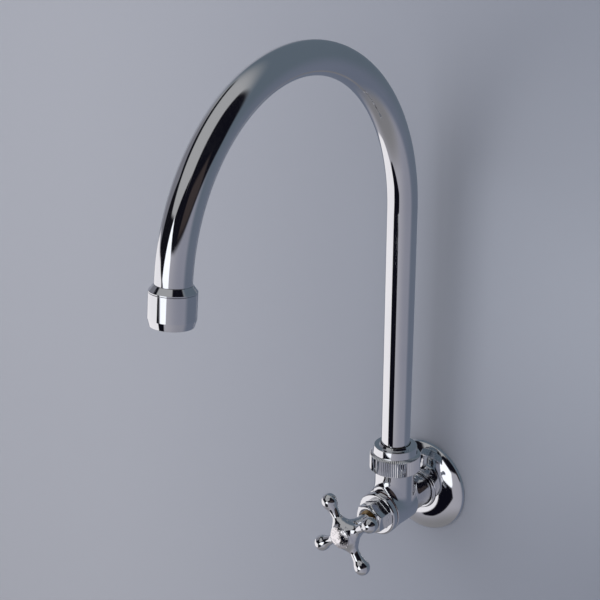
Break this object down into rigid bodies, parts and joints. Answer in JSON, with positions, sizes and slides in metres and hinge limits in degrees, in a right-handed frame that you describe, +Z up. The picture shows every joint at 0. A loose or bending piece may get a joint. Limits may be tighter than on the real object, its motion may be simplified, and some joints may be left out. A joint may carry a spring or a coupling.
{
  "type": "commercial wall faucet",
  "caption": "Wall-mounted kitchen tap with a round wall flange, a short level valve body, a tall swivelling gooseneck spout with an aerator, and a small cross handle.",
  "frame": {"origin": "centre of the wall flange's back face, on the axis of the inlet and valve", "axes": "+Y into the wall, along the inlet; +X to the right as seen by someone facing the wall; +Z up, along the riser"},
  "size_m": [0.065, 0.2852, 0.354],
  "materials": {
    "chrome_plate": "polished chrome plate over brass",
    "handle_chrome": "polished chrome plate over cast brass",
    "satin_cap": "satin pale metal, bare",
    "brass": "turned brass, dulled",
    "steel": "stainless steel",
    "rubber": "black nitrile rubber",
    "fibre": "dark red vulcanised fibre",
    "ptfe": "white PTFE",
    "acetal": "pale grey acetal"
  },
  "bodies": {
    "faucet": {"valve_body": "chrome_plate", "valve_seat": "brass", "wall_flange": "chrome_plate", "flange_o_ring": "rubber", "bonnet_washer": "fibre", "bonnet": "chrome_plate", "gland_packing": "ptfe", "gland_nut": "brass", "spout_nut": "chrome_plate", "spout_thrust_washer": "ptfe", "spout_slip_washer": "ptfe"},
    "spout": {"spout_foot": "brass", "spout_o_ring_lower": "rubber", "spout_o_ring_upper": "rubber", "spout_tube": "chrome_plate", "outlet_ferrule": "chrome_plate", "aerator_housing": "chrome_plate", "aerator_washer": "rubber", "aerator_insert": "acetal", "aerator_screen": "steel"},
    "jumper_assembly": {"jumper": "brass", "jumper_washer": "rubber", "jumper_nut": "brass"},
    "handle": {"spindle": "brass", "handle_cross": "handle_chrome", "handle_screw": "steel", "index_cap": "satin_cap"}
  },
  "joints": [
    {"name": "spout_swivel", "type": "hinge", "parent": "faucet", "child": "spout", "pos_m": [0, -0.037, 0], "axis": [0, 0, 1], "range_deg": [-94, 86]},
    {"name": "spindle_rise", "type": "slide", "parent": "faucet", "child": "jumper_assembly", "axis": [0, -1, 0], "range_m": [0, 0.005]},
    {"name": "handle_turn", "type": "hinge", "parent": "jumper_assembly", "child": "handle", "pos_m": [0, 0, 0], "axis": [0, -1, 0], "range_deg": [0, 900]}
  ],
  "couplings": [
    {"joint": "handle_turn", "follows": "spindle_rise", "rad_per_m": 3141.6}
  ]
}
